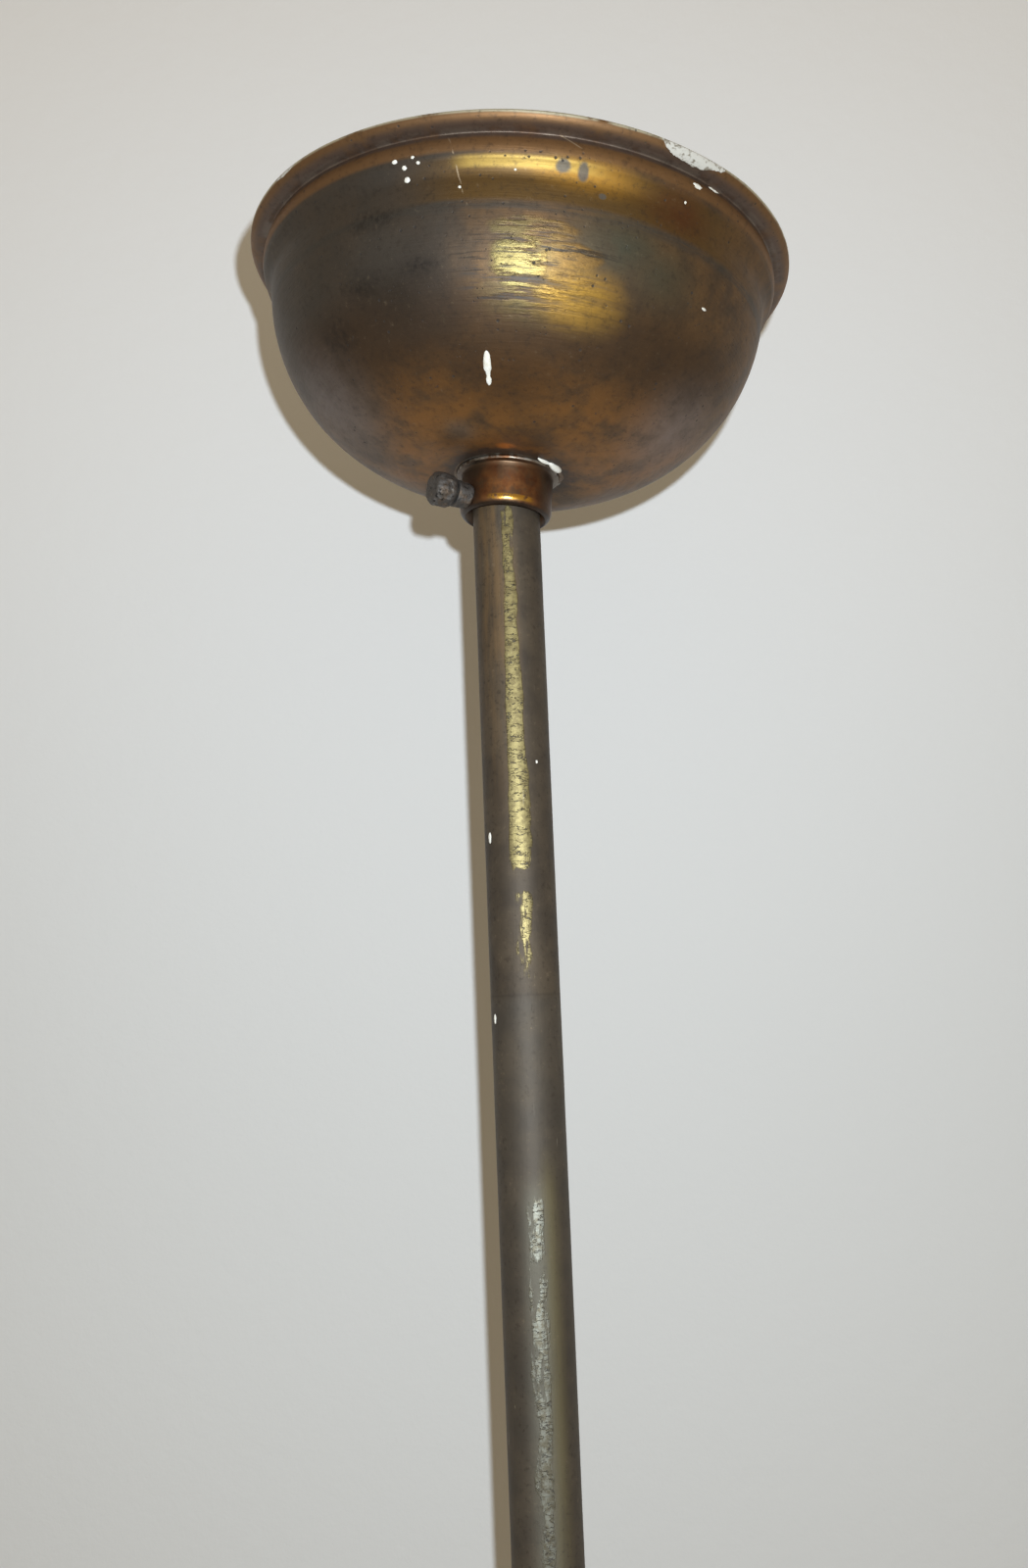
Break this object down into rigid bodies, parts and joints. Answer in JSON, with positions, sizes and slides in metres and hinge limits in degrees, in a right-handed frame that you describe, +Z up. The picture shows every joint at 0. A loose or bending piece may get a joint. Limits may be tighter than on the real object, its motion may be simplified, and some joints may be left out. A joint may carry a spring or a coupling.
{
  "type": "rod pendant ceiling suspension",
  "caption": "Brass ceiling canopy clamped by a thumb screw on a straight drop rod that hangs from a two-way swivel hanger and ends in a threaded nipple.",
  "frame": {"origin": "centre of the ceiling plate's back face, on the ceiling plane", "axes": "+Z up into the ceiling, the rod hangs along -Z, -Y towards the side the thumb screw half faces, -X to the screw's side"},
  "size_m": [0.1304, 0.1308, 0.5241],
  "materials": {
    "dome_brass": "spun brass, lacquer gone, brown tarnish",
    "neck_brass": "turned brass, coppery tarnish",
    "rod_brass": "drawn brass tube, dark flaking lacquer",
    "turned_brass": "turned brass, dull",
    "solder": "dull grey soft solder",
    "screw_steel": "blackened, pitted steel",
    "plated_steel": "zinc plated, dull",
    "rivet_steel": "bright drawn steel, aged",
    "hanger_iron": "malleable iron, oiled",
    "rubber": "matt black rubber"
  },
  "bodies": {
    "ceiling_mount": {"ceiling_plate": "plated_steel", "hanger_strap": "plated_steel", "strap_rivets": "rivet_steel", "cable_grommet": "rubber", "earth_screw": "turned_brass", "upper_clevis_pin": "rivet_steel", "upper_split_pin": "rivet_steel"},
    "swivel_link": {"cross_link": "hanger_iron"},
    "drop_rod": {"rod_fork": "hanger_iron", "lower_clevis_pin": "rivet_steel", "lower_split_pin": "rivet_steel", "upper_lock_nut": "turned_brass", "upper_ferrule": "turned_brass", "down_rod": "rod_brass", "lower_ferrule": "turned_brass", "lower_nipple": "turned_brass", "lower_lock_nut": "turned_brass"},
    "canopy": {"canopy_dome": "dome_brass", "canopy_neck": "neck_brass", "screw_boss": "neck_brass", "neck_solder": "solder"},
    "thumb_screw": {"thumb_screw": "screw_steel"}
  },
  "joints": [
    {"name": "swing_front_back", "type": "hinge", "parent": "ceiling_mount", "child": "swivel_link", "pos_m": [0, 0, -0.013], "axis": [1, 0, 0], "range_deg": [-12, 12]},
    {"name": "swing_left_right", "type": "hinge", "parent": "swivel_link", "child": "drop_rod", "pos_m": [0, 0, -0.028], "axis": [0, 1, 0], "range_deg": [-12, 12]},
    {"name": "canopy_slide", "type": "slide", "parent": "drop_rod", "child": "canopy", "axis": [0, 0, -1], "range_m": [0, 0.4]},
    {"name": "thumb_screw_travel", "type": "slide", "parent": "canopy", "child": "thumb_screw", "axis": [-0.8431, -0.5268, 0.108], "range_m": [0, 0.0025]}
  ]
}
